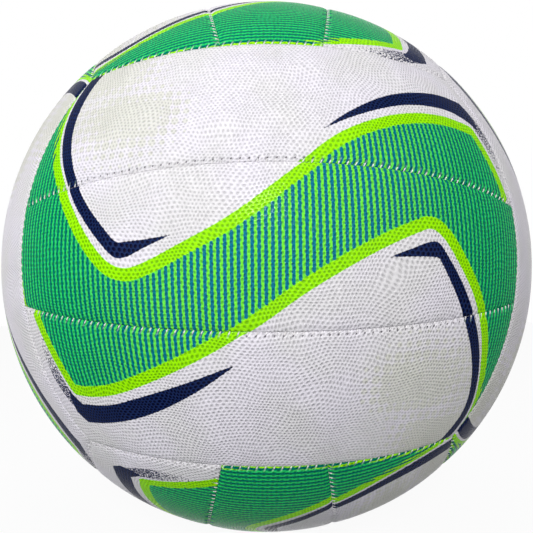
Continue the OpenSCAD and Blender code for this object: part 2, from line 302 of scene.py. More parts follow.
# The printed pattern, in millimetres round the ball from a face's middle: right and up
inks = {
    "upperEdge": [
        [(-81, 90), (-86, 74), (-88.4, 60), (-84.6, 40), (-72.9, 20), (-57.3, 0), (-51.3, -4.6),
         (-46.3, -5.6), (-40, -3.9), (-29.6, 0.9), (-14.2, 9), (5, 23.2), (20, 34.7), (35, 41.4),
         (50, 45.1), (66, 46.3), (81.6, 44.9)],
        [(83.2, 43.9), (92.1, 26.3), (98, 11), (103, -4)],
    ],
    "upperEdgeCentre": [[(88, 46), (104, 34), (106, 17), (112, 4), (118, -4)]],  # on middle strips
    "rightEnd": [[(125, -4), (125, -90)]],
    "lowerEdge": [
        [(84, -90), (87.4, -70), (88, -56), (81.3, -38.7), (73.3, -21.2), (61.7, -5.3), (53.6, 4),
         (49.6, 5.9), (44.5, 4.5), (30, -1.6), (10, -12.8), (-5, -23.2), (-20, -32.2),
         (-40, -41.2), (-58, -47), (-70, -48.5), (-78.3, -48.3)],
        [(-79.8, -46.9), (-91.3, -23), (-97, -11), (-103, 3)],
    ],
    "lowerEdgeCentre": [[(-88, -46), (-98, -32), (-101.3, -17.4), (-104.7, -3), (-110, 3)]],
    "leftEnd": [[(-125, 3), (-125, 90)]],
    "upperHook": [
        [(-30.8, 4), (-40, 0.3), (-46.5, -2.4), (-50.3, -2.5), (-54.5, 0.6), (-71.7, 20),
         (-83.3, 40), (-87.2, 58), (-84.4, 75), (-77, 92)],
        [(-69, 90), (-77.4, 71), (-79.8, 58), (-77.6, 40), (-66.7, 20), (-51.4, 3.2)],
        [(-49.3, 2.2), (-40, 2.8), (-30.8, 4)],
    ],
    "lowerHook": [
        [(33.2, -3.3), (42, -0.3), (49.2, 2), (52.3, 1.9), (55.4, -1.2), (71.7, -22.8),
         (83.3, -45.3), (86.7, -58), (83.2, -69), (75, -84)],
        [(68, -82), (77.5, -68), (81.7, -57), (78.8, -45.3), (66.3, -23.2), (52.6, -3)],
        [(50.6, -2.7), (41, -2.8), (33.2, -3.3)],
    ],
    "upperMark": [
        [(13.8, 35.1), (25, 43), (40, 50.5), (55, 54.5), (70, 56.1), (83, 55.2)],
        [(87, 51.4), (88.4, 46.2)],
        [(86.7, 43.8), (84.2, 45.6)],
        [(80, 47.3), (72, 49.2), (60, 49.4), (45, 47.3), (25, 40.7), (13.8, 35.1)],
    ],
    "lowerMark": [
        [(-11.5, -35.2), (-30, -42), (-50, -48), (-62, -51), (-76.5, -51.7)],
        [(-80, -48.6), (-81.7, -46.2)],
        [(-82.6, -50), (-82.6, -55.3)],
        [(-78.4, -59.2), (-70, -58.8), (-55, -56.4), (-40, -51.6), (-25, -44.2), (-11.5, -35.2)],
    ],
    "upperTail": [  # where the dark ink is worn
        [(84.4, 45), (89, 36.3), (95, 23)],
        [(95, 31), (94.4, 40), (90.5, 47), (87, 51), (84.4, 45)],
    ],
    "lowerTail": [
        [(-80.5, -49), (-84, -40), (-89.6, -26)],
        [(-90.8, -31), (-89.6, -41), (-86.5, -48), (-82.5, -53), (-80.5, -49)],
    ],
    "endHalf": 19.0,  # half the middle strip's width where it ends
    "edging": 4.0,  # width of the lime border
    "pitch": 2.0,  # of the fine stripes
    "phase": 0.85,
    "line": 1.12,  # width of a blue stripe
    "stripeReach": 100.0, "reachU": 130.0, "reachV": 100.0, "cell": 0.5,
    "smoothSteps": 6,
    "moves": {  # how far the print lies off on single strips
        "top_left": (-8.0, 0.0), "top_centre": (-6.0, 0.0), "top_right": (2.0, 4.0),
        "bottom_centre": (-2.5, 0.0), "back_upper": (1.8, -1.2), "right_centre": (0.0, 1.6),
        "left_front": (2.5, 4.5), "left_back": (1.2, 0.0), "right_front": (2.5, 4.0),
    },
    "slip": 0.35,  # and at random
    "endLime": (0.7, 2.1),  # border that shows at a strip's ends, but for the front face
    "bend": 0.85,  # how far the sewn edge drags it
    "bendReach": 2.3,
    "unprinted": 50.0,  # what the inside of a skin gets
}
gridU, gridV = [np.arange(-reach, reach + inks["cell"], inks["cell"])
                for reach in (inks["reachU"], inks["reachV"])]


def between(first, second, low, high, t):
    return (high - t) / (high - low) * first + (t - low) / (high - low) * second


def smoothRun(run):
    # a centripetal Catmull-Rom curve through the points
    p = np.array(run, float)
    p = np.concatenate([[2 * p[0] - p[1]], p, [2 * p[-1] - p[-2]]])
    out = []
    for a, b, c, d in zip(p, p[1:], p[2:], p[3:]):
        ta = 0.0
        tb = ta + math.dist(a, b) ** 0.5
        tc = tb + math.dist(b, c) ** 0.5
        td = tc + math.dist(c, d) ** 0.5
        for t in np.linspace(tb, tc, inks["smoothSteps"], endpoint=False):
            ab = between(a, b, ta, tb, t)
            bc = between(b, c, tb, tc, t)
            cd = between(c, d, tc, td, t)
            out.append(between(between(ab, bc, ta, tc, t), between(bc, cd, tb, td, t), tb, tc, t))
    return np.array([*out, p[-2]])


def signedDistance(*shapes):
    # over the whole grid, below zero inside the outline
    outline = np.concatenate([smoothRun(run) for shape in shapes for run in shape])
    u, v = np.meshgrid(gridU, gridV)
    best = np.full(u.shape, np.inf)
    inside = np.zeros(u.shape, bool)
    for (ax, ay), (bx, by) in zip(outline, np.roll(outline, -1, 0)):
        ex, ey = bx - ax, by - ay
        if math.hypot(ex, ey) < inks["cell"] / 1000:
            continue
        t = np.clip(((u - ax) * ex + (v - ay) * ey) / (ex * ex + ey * ey), 0, 1)
        best = np.minimum(best, (u - ax - t * ex) ** 2 + (v - ay - t * ey) ** 2)
        if ay != by:
            inside ^= ((ay > v) != (by > v)) & (u < ax + (v - ay) * ex / ey)
    return np.where(inside, -1, 1) * np.sqrt(best)


def waveDistance(upper, lower):
    return signedDistance(upper, inks["rightEnd"], lower, inks["leftEnd"])


def nearestShape(*names):
    return np.minimum.reduce([signedDistance(inks[name]) for name in names])


def lookUp(field, u, v):
    i = np.clip((u - gridU[0]) / inks["cell"], 0, len(gridU) - 1.001)
    j = np.clip((v - gridV[0]) / inks["cell"], 0, len(gridV) - 1.001)
    a, b = i.astype(int), j.astype(int)
    s, t = i - a, j - b
    low = field[b, a] * (1 - s) + field[b, a + 1] * s
    return low * (1 - t) + (field[b + 1, a] * (1 - s) + field[b + 1, a + 1] * s) * t


waveField = waveDistance(inks["upperEdge"], inks["lowerEdge"])
centreWaveField = waveDistance(inks["upperEdge"][:1] + inks["upperEdgeCentre"],
                               inks["lowerEdge"][:1] + inks["lowerEdgeCentre"])
markField = nearestShape("upperHook", "lowerHook", "upperMark", "lowerMark")
tailField = nearestShape("upperTail", "lowerTail")
stripeCentres = inks["phase"] + np.arange(
    -inks["stripeReach"], inks["stripeReach"] + 1, inks["pitch"])


def stripeEnds(centre):
    # the highest and lowest point inside the border along one stripe
    stripe = np.full(len(gridV), centre)
    column = lookUp(waveField, stripe, gridV)
    middle = lookUp(centreWaveField, stripe, gridV)
    column = np.where(np.abs(gridV) < inks["endHalf"], np.minimum(column, middle), column)
    inner = gridV[column < -inks["edging"]]
    if len(inner) == 0:
        return 0.0, 0.0
    return float(inner.max() + inks["cell"] / 2), float(inner.min() - inks["cell"] / 2)


stripeTops, stripeFeet = zip(*[stripeEnds(centre) for centre in stripeCentres])
print("print pattern worked out")


class Value:
    # a socket that sums can be written with
    def __init__(self, graph, socket):
        self.graph = graph
        self.socket = socket

    def math(self, operation, *others):
        return self.graph.add("ShaderNodeMath", {"operation": operation}, [self, *others])

    def __add__(self, other):
        return self.math("ADD", other)

    def __sub__(self, other):
        return self.math("SUBTRACT", other)

    def __rsub__(self, other):
        return self.graph.add("ShaderNodeMath", {"operation": "SUBTRACT"}, [other, self])

    def __mul__(self, other):
        return self.math("MULTIPLY", other)

    def __truediv__(self, other):
        return self.math("DIVIDE", other)

    def __abs__(self):
        return self.math("ABSOLUTE")

    def floor(self):
        return self.math("FLOOR")

    def part(self):
        return self.math("FRACT")

    def most(self, other):
        return self.math("MAXIMUM", other)

    def least(self, other):
        return self.math("MINIMUM", other)

    def beside(self, other):
        # the two at right angles
        return (self * self + other * other).math("SQRT")

    def ramp(self, low, high, outLow=0.0, outHigh=1.0):
        return self.graph.add("ShaderNodeMapRange", {"interpolation_type": "SMOOTHSTEP"},
                              [self, low, high, outLow, outHigh])


class Graph:
    # the nodes of a material, or of the world
    def __init__(self, owner):
        owner.use_nodes = True
        self.owner = owner
        self.tree = owner.node_tree
        self.tree.nodes.clear()

    def add(self, kind, settings=None, inputs=(), output=0):
        node = self.tree.nodes.new(kind)
        for key, value in (settings or {}).items():
            setattr(node, key, value)
        named = inputs.items() if isinstance(inputs, dict) else enumerate(inputs)
        for key, value in named:
            if isinstance(value, Value):
                self.tree.links.new(value.socket, node.inputs[key])
            else:
                node.inputs[key].default_value = value
        return Value(self, node.outputs[output]) if node.outputs else node

    def curve(self, place, points):
        reading = self.add("ShaderNodeFloatCurve", None, {"Value": place})
        mapping = reading.socket.node.mapping
        curve = mapping.curves[0]
        while len(curve.points) < len(points):
            curve.points.new(0.5, 0.5)
        for point, location in zip(curve.points, points):
            point.location = location
            point.handle_type = "VECTOR"
        mapping.update()
        return reading

    def mix(self, share, first, second):
        return self.add("ShaderNodeMix", {"data_type": "RGBA"}, {0: share, 6: first, 7: second}, 2)

    def noise(self, place, scale, detail=2.0, roughness=0.5):
        return self.add("ShaderNodeTexNoise", {"noise_dimensions": "3D"},
                        {"Vector": place, "Scale": scale, "Detail": detail, "Roughness": roughness})

    def parts(self, vector):
        node = self.tree.nodes.new("ShaderNodeSeparateXYZ")
        self.tree.links.new(vector.socket, node.inputs[0])
        return [Value(self, socket) for socket in node.outputs]

    def joined(self, *parts):
        return self.add("ShaderNodeCombineXYZ", None, parts)

    def uvMap(self, name):
        return self.parts(self.add("ShaderNodeUVMap", {"uv_map": name}))[:2]

    def objectPlace(self):
        return self.add("ShaderNodeTexCoord", None, (), 3)

    def surface(self, base, roughness, relief, strength, depth, others=()):
        bump = self.add("ShaderNodeBump", None, {
            "Strength": strength, "Distance": depth * metre, "Height": relief})
        return self.finish(self.add("ShaderNodeBsdfPrincipled", None, {
            "Base Color": base, "Roughness": roughness, "Normal": bump, **dict(others)}))

    def finish(self, shader, output="ShaderNodeOutputMaterial"):
        self.add(output, None, {"Surface": shader})
        return self.owner


def rgb(*shown):
    # a colour as it shows on screen, turned into light
    parts = [c / 255 for c in shown]
    return (*[p / 12.92 if p <= 0.0404 else ((p + 0.055) / 1.055) ** 2.4 for p in parts], 1.0)


coverLooks = {
    "white": rgb(238, 234, 243), "whiteWarm": rgb(233, 231, 233),
    # painted shade: the darker lime and the pit green are for the grain's pits
    "lime": rgb(160, 246, 6), "limePitShade": rgb(120, 205, 8),
    "green": rgb(118, 240, 60), "greenEnd": rgb(40, 214, 108),
    "greenPitShade": rgb(24, 150, 92), "blue": rgb(0, 118, 150),
    "blueEnd": rgb(0, 120, 102), "navy": rgb(0, 5, 44),
    # the lighter navy serves both as the ink's random specks and as painted sheen on the grain's ridges
    "navySpeckAndRidgeSheen": rgb(34, 54, 104), "tone": rgb(220, 221, 206),
    "creaseHighlight": rgb(206, 240, 222),  # painted highlight along the crease beside a stitch
    # painted shade inside the needle holes
    "hole": rgb(92, 84, 96),
    "inkEnds": (14.0, 80.0),  # where the inks turn into those of the ends
    "printEdge": 0.11, "worn": (0.42, 0.47), "wornUp": (50.0, 20.0),
    "pitShade": 0.75,  # painted shade: how dark the pits are drawn
    "roughness": 0.46,
    "inkGloss": 0.06,  # how much smoother the ink is, and the grain's ridges
    "ridgeGloss": 0.24, "shine": 0.007,
    "polish": 0.1,  # how much more shine a face's middle has
    "polished": (64.0, 14.0),
}
grain = {
    "along": 1.46,  # spacing of the pits along and between their rows
    "between": 1.2,
    "pit": (0.06, 0.63),  # radius of a pit's floor and of its rim
    "pitChance": 0.06, "height": 0.28,
    "swell": 0.14,  # slower swells under the grain
    "micro": 0.012, "wander": 9.0, "wanderScale": 0.045, "jitterAlong": 0.4,
    "jitterBetween": 0.45, "jitterScale": 0.55,
    "elsewhere": 40.0,  # a second place in the same noise
}
tone = {  # dots that thicken away from the wave
    "pitch": 3.7, "leanU": 0.04, "leanV": 0.035, "besideUp": (22.0, 43.0),
    "besideUpEnd": (60.0, 46.0), "besideQuadrant": (76.0, 56.0, 0.45, 1.0),
    "beyondQuadrant": (36.0, 62.0), "beyondUp": (50.0, 62.0),
    "thinQuadrant": (44.0, 24.0, 0.0, 0.5), "thick": 0.6, "least": 0.1,
    "dotEdge": 0.09, "startQuadrant": (24.0, 30.0), "startUp": (24.0, 26.0),
    "limitSlope": 0.5, "limitStart": 60.0, "limit": 85.0,
    "show": (0.3, 0.7, 0.42, 0.82),
}
needle = {"halfAlong": 0.25, "halfAcross": 0.32, "edge": (1.5, 0.3)}
crease = {"beside": (0.16, 0.0), "start": (0.0, 0.3), "end": (2.3, 1.2)}


def pits(graph, u, v):
    # small pits in wandering staggered rows, and a random number for each
    place = graph.joined(u, v, 0.0)
    wanderU = graph.noise(place, grain["wanderScale"], 1.0) - 0.5
    wanderV = graph.noise(graph.joined(u, v, grain["elsewhere"]), grain["wanderScale"], 1.0) - 0.5
    jitter = graph.noise(place, grain["jitterScale"], 1.0) - 0.5
    rowPlace = (v + wanderV * grain["wander"] + jitter * grain["jitterBetween"]) / grain["between"]
    row = rowPlace.floor()
    shift = (row * 0.5).part()
    colPlace = (u + wanderU * grain["wander"] + jitter * grain["jitterAlong"]) / grain["along"] + shift
    col = colPlace.floor()
    x = (colPlace - col - 0.5) * grain["along"]
    y = (rowPlace - row - 0.5) * grain["between"]
    chance = graph.add("ShaderNodeTexWhiteNoise", {"noise_dimensions": "3D"},
                       {"Vector": graph.joined(col, row, 0.0)})
    away = x.beside(y) - chance * grain["pitChance"]
    return away.ramp(*grain["pit"]), chance


def toneDots(u, v):
    quadrant = v.math("SIGN") * u * -1.0
    up = abs(v)
    dotX = ((u + v * tone["leanU"]) / tone["pitch"]).part() - 0.5
    dotY = ((v - abs(u) * tone["leanV"]) / tone["pitch"]).part() - 0.5
    beside = up.ramp(*tone["besideUp"]) * up.ramp(*tone["besideUpEnd"])
    beside = beside * quadrant.ramp(*tone["besideQuadrant"])
    beyond = quadrant.ramp(*tone["beyondQuadrant"]) * up.ramp(*tone["beyondUp"])
    thick = beside.most(beyond) * tone["thick"] + tone["least"] - quadrant.ramp(*tone["thinQuadrant"])
    limit = (up * tone["limitSlope"] + tone["limitStart"]).least(tone["limit"])
    within = quadrant.ramp(*tone["startQuadrant"]) * up.ramp(*tone["startUp"])
    within = within * limit.math("GREATER_THAN", quadrant)
    return (dotX.beside(dotY) - thick).ramp(tone["dotEdge"], -tone["dotEdge"]) * within


def stripes(graph, u, v, height, ragged):
    # distance from the nearest stripe's edge; each stripe ends round, at the border
    pitch, phase = inks["pitch"], inks["phase"]
    stripeCentre = ((u - phase) / pitch + 0.5).floor() * pitch + phase
    wide = 2 * (inks["stripeReach"] + 6)
    tall = 160.0
    curvePlace = stripeCentre / wide + 0.5

    def endCurve(heights):
        points = [(c / wide + 0.5, h / tall + 0.5) for c, h in zip(stripeCentres.tolist(), heights)]
        points = [(0.0, points[0][1]), *points, (1.0, points[-1][1])]
        return (graph.curve(curvePlace, points) - 0.5) * tall

    halfLine = inks["line"] / 2
    above = v - (endCurve(stripeTops) - halfLine)
    below = (endCurve(stripeFeet) + halfLine) - v
    away = (u - stripeCentre).beside(above.most(below).most(0.0))
    return away - halfLine + ragged * 0.5 + (height - 0.6) * 0.06


def stitchMarks(across, along):
    # the needle's holes, and the creases that run to them from the gap
    beside = ((along / stitching["pitch"] + 0.5).part() - 0.5) * stitching["pitch"]
    holeX = beside / needle["halfAlong"]
    holeY = (across - stitching["hole"]) / needle["halfAcross"]
    hole = (holeX * holeX + holeY * holeY).ramp(*needle["edge"])
    fold = (beside * beside).ramp(*crease["beside"])
    return hole, fold * across.ramp(*crease["start"]) * across.ramp(*crease["end"])


def coverMaterial():
    looks = coverLooks
    graph = Graph(bpy.data.materials.new("cover_rubber"))
    u, v = graph.uvMap("print")
    wave, marks = graph.uvMap("marks")
    tails = graph.uvMap("tails")[0]
    height, chance = pits(graph, u, v)
    place = graph.joined(u, v, 0.0)
    fine = graph.noise(place, 2.4, 3.0)
    broad = graph.noise(place, 0.035, 2.0)
    ragged = (fine - 0.5) * 0.22 + (height - 0.5) * 0.12

    def inside(distance):
        return distance.ramp(looks["printEdge"], -looks["printEdge"])

    # white rubber with its tone
    base = graph.mix(broad.ramp(0.35, 0.65), looks["white"], looks["whiteWarm"])
    base = graph.mix(toneDots(u, v) * fine.ramp(*tone["show"]), base, looks["tone"])

    # the lime border and the striped field inside it
    ends = abs(u).ramp(*looks["inkEnds"])
    # painted shade: the lime here and the green two lines down are drawn darker in the grain's pits
    lime = graph.mix((1 - height) * 0.6, looks["lime"], looks["limePitShade"])
    green = graph.mix(ends, looks["green"], looks["greenEnd"])
    green = graph.mix((1 - height) * 0.2, green, looks["greenPitShade"])
    blue = graph.mix(ends, looks["blue"], looks["blueEnd"])
    field = graph.mix(inside(wave + inks["edging"]), lime, green)
    striped = inside(stripes(graph, u, v, height, ragged)) * inside(wave + inks["edging"] * 0.4)
    field = graph.mix(striped, field, blue)
    base = graph.mix(inside(wave + ragged), base, field)

    # the dark outline and its worn tails
    speck = graph.noise(place, 1.3, 3.0, 0.6)
    # random lighter specks in the navy ink, and painted sheen where the grain's ridges stand
    navySpeckAndSheenShare = speck.ramp(0.62, 0.78) * 0.3 + height.ramp(0.6, 1.0, 0.0, 0.55)
    navy = graph.mix(navySpeckAndSheenShare, looks["navy"], looks["navySpeckAndRidgeSheen"])
    base = graph.mix(inside(marks + ragged), base, navy)
    worn = (speck - abs(v).ramp(*looks["wornUp"], 0.0, 0.18)).ramp(*looks["worn"])
    base = graph.mix(inside(tails + ragged) * worn * 0.95, base, navy)

    # what the stitches leave in the cover, weaker at the strips' ends: painted highlight along the creases
    # and painted shade in the needle holes
    sideHole, sideCrease = stitchMarks(*graph.uvMap("sideSeam"))
    endHole, endCrease = stitchMarks(*graph.uvMap("endSeam"))
    hole = sideHole.most(endHole * 0.25)
    folded = sideCrease.most(endCrease)
    inked = inside(wave).most(inside(marks))
    # painted highlight: the inks are drawn paler along the stitch creases
    base = graph.mix(folded * inked * 0.42, base, looks["creaseHighlight"])
    # painted shade: the needle holes are drawn dark, less so on the inks
    base = graph.mix(hole * (0.8 - inked * 0.6), base, looks["hole"])
    # painted shade: the whole cover's colour is darkened in the grain's pits
    shaded = graph.add("ShaderNodeVectorMath", {"operation": "SCALE"},
                       {0: base, "Scale": height.ramp(0.0, 0.9, looks["pitShade"], 1.0)})

    roughness = (fine - 0.5) * 0.1 + looks["roughness"]
    roughness = roughness - inked * looks["inkGloss"] - height * looks["ridgeGloss"]
    relief = height * (chance * 0.3 + 0.85) * grain["height"]
    relief = relief + graph.noise(place, 6.0, 2.0) * grain["micro"]
    relief = relief + graph.noise(place, 0.7, 1.0) * grain["swell"] - folded * 0.1 - hole * 0.25
    shine = u.beside(v).ramp(*looks["polished"]) * looks["polish"] + looks["shine"]
    return graph.surface(shaded, roughness, relief, 1.0, 1.0, {"Specular IOR Level": shine})


threadLooks = {"light": rgb(242, 240, 244), "deep": rgb(222, 218, 214), "roughness": 0.6}


def threadMaterial():
    looks = threadLooks
    graph = Graph(bpy.data.materials.new("seam_thread"))
    place = graph.objectPlace()
    fibre = graph.noise(place, 5200.0, 2.0)
    soil = graph.noise(place, 160.0, 2.0)
    base = graph.mix(fibre.ramp(0.3, 0.7) * 0.5 + soil.ramp(0.4, 0.7) * 0.4, looks["light"], looks["deep"])
    return graph.surface(base, (fibre - 0.5) * 0.2 + looks["roughness"], fibre, 0.6, 0.04)


clothLooks = {
    "warp": rgb(214, 203, 178), "weft": rgb(196, 183, 155), "glue": rgb(170, 158, 132),
    "threads": 1250.0,
}


def clothMaterial():
    # plain weave, drawn over the way round the ball and the way up it
    looks = clothLooks
    graph = Graph(bpy.data.materials.new("lining_cloth"))
    place = graph.objectPlace()
    x, y, z = graph.parts(place)
    wander = (graph.noise(place, 90.0, 2.0) - 0.5) * 0.5
    across = x.math("ARCTAN2", y) * ballR * metre * looks["threads"] + wander
    up = z * looks["threads"] + wander
    warp = across.math("SINE") * up.math("COSINE")
    slub = graph.noise(place, 400.0, 3.0)
    base = graph.mix(warp.ramp(-0.6, 0.6), looks["warp"], looks["weft"])
    base = graph.mix(slub.ramp(0.45, 0.75) * 0.6, base, looks["glue"])
    return graph.surface(base, slub.ramp(0.2, 0.8, 0.75, 0.95), abs(warp) + slub * 0.5, 0.8, 0.12)


rubberLooks = {
    "bladder_rubber": {"base": rgb(38, 38, 40), "dust": rgb(120, 118, 114), "dusting": 0.55,
                       "roughness": 0.55, "grain": 900.0},
    "valve_rubber": {"base": rgb(206, 203, 200), "dust": rgb(232, 229, 226), "dusting": 0.3,
                     "roughness": 0.45, "grain": 1800.0},
    "valve_core_rubber": {"base": rgb(30, 30, 33), "dust": rgb(74, 74, 78), "dusting": 0.25,
                          "roughness": 0.4, "grain": 2200.0},
}


def rubberMaterial(name):
    looks = rubberLooks[name]
    graph = Graph(bpy.data.materials.new(name))
    place = graph.objectPlace()
    grains = graph.noise(place, looks["grain"], 3.0)
    clouds = graph.noise(place, looks["grain"] / 30, 3.0, 0.6)
    dusty = clouds.ramp(0.42, 0.7) * looks["dusting"] + grains.ramp(0.55, 0.8) * 0.15
    base = graph.mix(dusty, looks["base"], looks["dust"])
    return graph.surface(base, dusty * 0.35 + looks["roughness"], grains + clouds * 0.6, 0.5, 0.05)


materials = {
    "cover": coverMaterial(),
    "thread": threadMaterial(),
    "cloth": clothMaterial(),
    **{name: rubberMaterial(name) for name in rubberLooks},
}
print("materials made")


valve = {
    "bore": 4.15,  # radius of the hole in the cover
    "rowCells": 5,  # half the mesh cells that the hole takes
    "colCells": 7,
    "fade": 2.9,  # how many times further out the mesh lines lie straight again
    "dip": 0.34, "dipReach": 9.0, "lipRings": 3, "lip": 0.35, "lipIn": 0.105,
    "lipDrop": 0.1, "textureIn": 0.12, "onRing": 0.999,
}


def openHole(points):
    # moves the lines round the middle of a grid onto circles round the hole
    rowMiddle, colMiddle = points.shape[0] // 2, points.shape[1] // 2
    j = np.abs(np.arange(points.shape[0]) - rowMiddle)[:, None] / valve["rowCells"]
    i = np.abs(np.arange(points.shape[1]) - colMiddle)[None, :] / valve["colCells"]
    ring = np.maximum(i, j)
    fade = valve["fade"]
    flat = points[..., :2] * ballR
    distance = np.maximum(np.linalg.norm(flat, axis=-1), 1e-9)
    edge = distance / np.maximum(ring, 1e-9)
    circle = valve["bore"] + (ring - 1) * (fade * edge - valve["bore"]) / (fade - 1)
    weight = smooth(ring, 1, fade)
    wanted = circle * (1 - weight) + distance * weight
    near = (ring >= valve["onRing"]) & (ring < fade)
    scaled = flat * np.where(near, wanted / distance, 1)[..., None] / ballR
    up = np.sqrt(np.maximum(0, 1 - (scaled ** 2).sum(-1)))
    moved = np.concatenate([scaled, up[..., None]], -1)
    return np.where(near[..., None], moved, points), ring


def nearestSeam(points, seams):
    (across, along), (otherAcross, otherAlong) = [seamPlace(points, seam) for seam in seams]
    first = np.abs(across) <= np.abs(otherAcross)
    across = np.where(first, across, otherAcross)
    along = np.where(first, along, otherAlong)
    return across, along - stitching["lean"] * across


def drawnIn(across, along, otherAcross):
    # how deep the lip lies: drawn in at each stitch, rounder between them
    s = stitching
    cell = along / s["pitch"] + 0.5
    beside = (cell - np.floor(cell) - 0.5) * s["pitch"]
    reach = 1 - smooth(np.abs(across), s["reach"] * 0.45, s["reach"])
    stitched = np.where(across > 0, 1.0, s["farSide"])
    notch = s["pull"] * np.exp(-(beside / s["pullWidth"]) ** 2) * stitched
    scallop = s["scallop"] * (0.5 + 0.5 * np.cos(wholeTurn * beside / s["pitch"]))
    return (notch + scallop) * reach * smooth(np.abs(otherAcross), *s["cornerRoom"])


ripple = {  # how uneven the panels lie
    "depth": 0.09, "waveX": 9.3, "waveY": 7.1, "waveXY": 5.2, "start": (2.0, 12.0),
    "calm": (20.0, 26.0),
}


def uneven(x, y, inwards, strip):
    wave = np.sin(x / ripple["waveX"] + 1.1 * strip) * np.sin(y / ripple["waveY"] + 0.7)
    wave = wave + np.sin((x + y) / ripple["waveXY"] + strip)
    share = smooth(inwards, *ripple["start"]) * (1 - 0.5 * smooth(inwards, *ripple["calm"]))
    return ripple["depth"] * (0.5 + 0.25 * wave) * share


# A panel's places in its texture: the outer surface large, the inner one small below it
outerBox = (0.02, 0.98, 0.24, 0.98)
innerBox = (0.02, 0.98, 0.02, 0.196)
textureRing = 0.006


def gridPlaces(cols, rows, box):
    left, right, low, high = box
    across = left + (right - left) * cols["texture"]
    up = low + (high - low) * rows["texture"]
    return np.stack(np.meshgrid(across, up), -1).reshape(-1, 2)


def spreadOut(places, box, by):
    # moves a box's border out on every side
    left, right, low, high = box
    middle = np.array([left + right, low + high]) / 2
    half = np.array([right - left, high - low]) / 2
    return middle + (places - middle) * (half + by) / half


def ledgeMeets(outerLoop, innerLoop, every):
    # the inner border's nearest cell for each one of the outer border
    nearest = []
    for cells, innerCells in zip(outerLoop, innerLoop):
        turned = np.round((cells - ball["rollSteps"]) / every).astype(int)
        nearest.append(np.clip(turned, 0, innerCells.max()).tolist())
    order = {cell: k for k, cell in enumerate(zip(innerLoop[0].tolist(), innerLoop[1].tolist()))}
    return np.array([order[cell] for cell in zip(*nearest)])


def panelShape(strip, hole=False):
    # what doesn't depend on the strip's face, drawn on the front face
    rows = panelLines(ball["sideStrip"] if strip else ball["centreStrip"], ball["acrossStep"])
    cols = panelLines(faceLength, ball["alongStep"])
    every = 1 if hole else ball["insideEvery"]
    inRows, inCols = insideLines(rows, every), insideLines(cols, every)
    directions = sideDirections if strip else centreDirections
    outer, inner = directions(rows, cols), directions(inRows, inCols)
    if hole:
        outer, outerRing = openHole(outer)
        inner, innerRing = openHole(inner)
    outerCells = (outer.shape[1] - 1, outer.shape[0] - 1)
    innerCells = (inner.shape[1] - 1, inner.shape[0] - 1)
    outer, inner = outer.reshape(-1, 3), inner.reshape(-1, 3)

    # how deep the two surfaces lie
    long, short = seamsOf(strip)
    across, along = nearestSeam(outer, long)
    endAcross, endAlong = nearestSeam(outer, short)
    x, y = outer.T[:2] * ballR
    depth = np.maximum(rows["drop"][:, None], cols["drop"][None, :]).ravel()
    depth = depth + drawnIn(across, along, endAcross) + drawnIn(endAcross, endAlong, across)
    depth = depth + uneven(x, y, np.minimum(np.abs(across), np.abs(endAcross)), strip)
    if hole:
        depth = depth + valve["dip"] * (1 - smooth(np.hypot(x, y), valve["bore"], valve["dipReach"]))
    innerDepth = np.maximum(inRows["drop"][:, None], inCols["drop"][None, :]).ravel() + ball["skin"]

    # the turned-in edge: a foot below the outer border, and a ledge from it to the inner surface
    outerLoop, innerLoop = loopCells(*outerCells), loopCells(*innerCells)
    border = outerLoop[1] * (outerCells[0] + 1) + outerLoop[0]
    innerBorder = innerLoop[1] * (innerCells[0] + 1) + innerLoop[0]
    edges = np.full(len(border) + len(innerBorder), ball["foot"])
    unit = np.concatenate([outer, outer[border], inner[innerBorder], inner])
    start = np.cumsum([0, len(outer), len(border), len(innerBorder)])
    footLoop = start[1] + np.arange(len(border))
    ledgeLoop = start[2] + np.arange(len(innerBorder))
    meets = ledgeMeets(outerLoop, innerLoop, every)
    rollQuads, _ = loopBand(border, footLoop)
    footQuads, footTris = loopBand(footLoop, ledgeLoop[meets])
    wallQuads, _ = loopBand(ledgeLoop, start[3] + innerBorder)
    wallTexture, _ = loopBand(len(unit) + np.arange(len(innerBorder)), start[3] + innerBorder)
    near = [gridQuads(*outerCells), rollQuads, footQuads]
    innerQuads = gridQuads(*innerCells)[:, ::-1] + start[3]

    places = gridPlaces(cols, rows, outerBox)
    innerPlaces = gridPlaces(inCols, inRows, innerBox)
    ledgePlaces = gridPlaces(inCols, inRows, outerBox)[innerBorder]
    shape = {
        "unit": unit,
        "radius": ballR - np.concatenate([depth, edges, innerDepth]),
        "texture": np.concatenate([
            places, spreadOut(places[border], outerBox, textureRing),
            spreadOut(ledgePlaces, outerBox, 2 * textureRing),
            innerPlaces, spreadOut(innerPlaces[innerBorder], innerBox, textureRing)]),
        "quads": [*near, wallQuads, innerQuads],
        "textureQuads": [*near, wallTexture, innerQuads],
    }
    if hole:
        topLoop, footLoop = holeLoop(outerCells), start[3] + holeLoop(innerCells)
        inHole = np.zeros(len(unit), bool)
        inHole[:outerRing.size] = outerRing.ravel() < valve["onRing"]
        inHole[start[3]:] = innerRing.ravel() < valve["onRing"]
        cutHole(shape, inHole, topLoop, footLoop)
    return {
        **shape, "quads": np.concatenate(shape["quads"]), "tris": footTris,
        "textureQuads": np.concatenate(shape["textureQuads"]), "outerCount": start[1],
        "seams": (nearestSeam(shape["unit"], long), nearestSeam(shape["unit"], short)),
    }


def holeLoop(cells):
    cols, rows = cells
    i, j = loopCells(2 * valve["colCells"], 2 * valve["rowCells"])
    return (rows // 2 - valve["rowCells"] + j) * (cols + 1) + cols // 2 - valve["colCells"] + i


